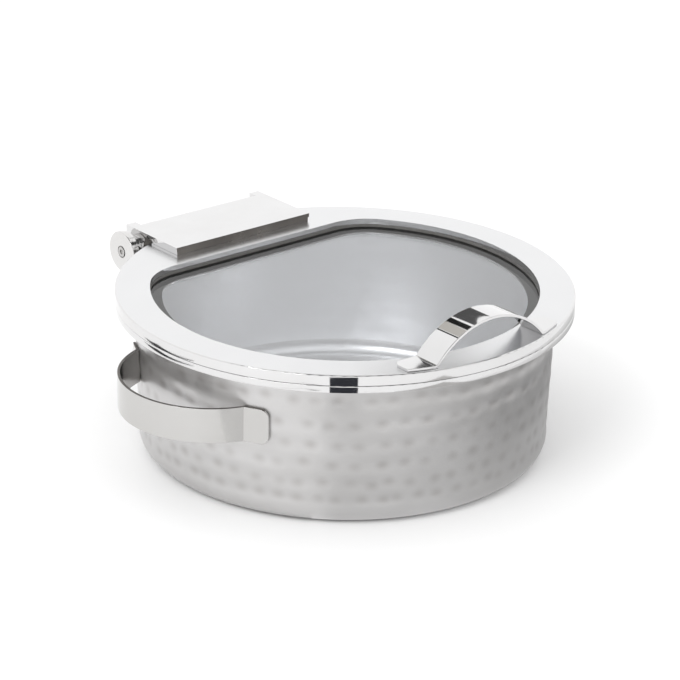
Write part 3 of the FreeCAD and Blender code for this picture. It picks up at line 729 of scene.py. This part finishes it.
def floor_seen_in_edge(turn, height):
    """Place on the floor that the camera sees in the lid's edge."""
    heading = camera_axes()[2]
    angle = math.atan2(heading.y, heading.x) + math.radians(turn)
    out = Vector((math.cos(angle), math.sin(angle), 0.0))
    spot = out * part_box("lid_frame")[1].x + Vector((0.0, 0.0, height * MM))
    sight = (spot - bpy.context.scene.camera.location).normalized()
    onward = sight - 2 * sight.dot(out) * out
    return spot + onward * ((spot.z - CARD_LIFT) / -onward.z)


def lay_edge_cards():
    """Flags on the floor, for the lid's edge."""
    for name, corners, shade in EDGE_CARDS:
        spots = [floor_seen_in_edge(turn, height) for turn, height in corners]
        add_card(name, spots, shade)


def hang_overhead_card():
    right, _, back = camera_axes()
    level = Vector((back.x, back.y, 0.0)).normalized()
    lift = math.radians(OVERHEAD_RISE)
    heading = level * math.cos(lift) + Vector((0.0, 0.0, math.sin(lift)))
    steep = right.cross(heading) * OVERHEAD_LONG / 2
    middle = CENTRE + heading * OVERHEAD_AWAY
    corners = rectangle(middle, right * OVERHEAD_WIDE / 2, steep)
    add_card("overhead_flag", corners, OVERHEAD_SHADE)


def hang_hinge_card():
    heading = Vector(HINGE_FLAG_HEADING).normalized()
    across = heading.cross(Vector((0.0, 0.0, 1.0))).normalized() * HINGE_FLAG_WIDE / 2
    steep = across.cross(heading).normalized() * HINGE_FLAG_LONG / 2
    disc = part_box("hinge_end_disc_left")
    middle = (disc[0] + disc[1]) / 2 + heading * HINGE_FLAG_AWAY
    add_card("hinge_flag", rectangle(middle, across, steep), HINGE_FLAG_SHADE)


def smooth(start, end, value):
    """0 at the start, 1 at the end, with a soft run between."""
    share = clamp((value - start) / (end - start))
    return share * share * (3 - 2 * share)


def floor_spot(turn, radius):
    """Place on the floor, by its angle from the camera's side and its distance."""
    angle = CAMERA_AZIMUTH - math.pi / 2 + math.radians(turn)
    return Vector((radius * math.cos(angle), radius * math.sin(angle), FLOOR_LIFT))


def add_floor_flag():
    """Sheet on the floor whose shade deepens to the right, and fades out at its edges."""
    mesh = bpy.data.meshes.new("floor_flag")
    work = bmesh.new()
    layer = work.verts.layers.float.new("shade")
    rows = []
    for step in range(FLOOR_STEPS + 1):
        turn = FLOOR_FIRST + (FLOOR_LAST - FLOOR_FIRST) * step / FLOOR_STEPS
        fade = smooth(FLOOR_FIRST, FLOOR_FULL, turn) * smooth(FLOOR_LAST, FLOOR_FADING, turn)
        rightward = smooth(FLOOR_FULL, FLOOR_RIGHT, turn)
        row = []
        for radius, middle, right in FLOOR_SHADES:
            vert = work.verts.new(floor_spot(turn, radius))
            vert[layer] = 1.0 - fade * (middle + (right - middle) * rightward)
            row.append(vert)
        rows.append(row)
    for first, second in zip(rows, rows[1:]):
        for near in range(len(FLOOR_SHADES) - 1):
            far = near + 1
            work.faces.new((first[near], first[far], second[far], second[near]))
    work.to_mesh(mesh)
    work.free()
    finish_card("floor_flag", mesh, (1.0, 1.0, 1.0), "shade")


def mirrored(tilt):
    """Where the camera's line of sight goes once the arch, tilted to the left, turns it."""
    sight = -camera_axes()[2]
    normal = Vector((-math.sin(tilt), 0.0, math.cos(tilt)))
    return sight - 2 * sight.dot(normal) * normal


def hang_grip_card(name, start, end, shade):
    """Card that covers the arch from one angle to another."""
    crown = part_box("lid_handle")
    eye = Vector((0.0, (crown[0].y + crown[1].y) / 2, crown[1].z))
    first = mirrored(math.radians(start)) * CARD_AWAY
    last = mirrored(math.radians(end)) * CARD_AWAY
    along = last - first
    normal = -(first + last).normalized()
    across = normal.cross(along).normalized() * CARD_WIDE / 2
    corners = [eye + first - across, eye + last - across,
               eye + last + across, eye + first + across]
    add_card(name, corners, shade)


def build_studio():
    add_camera()
    add_floor()
    add_world()
    add_softbox()
    lay_edge_cards()
    hang_overhead_card()
    hang_hinge_card()
    add_floor_flag()
    for name, start, end, shade in GRIP_CARDS:
        hang_grip_card(name, start, end, shade)
    view = bpy.context.scene.view_settings
    view.view_transform = "Standard"
    view.look = "None"


build_pieces()
build_studio()
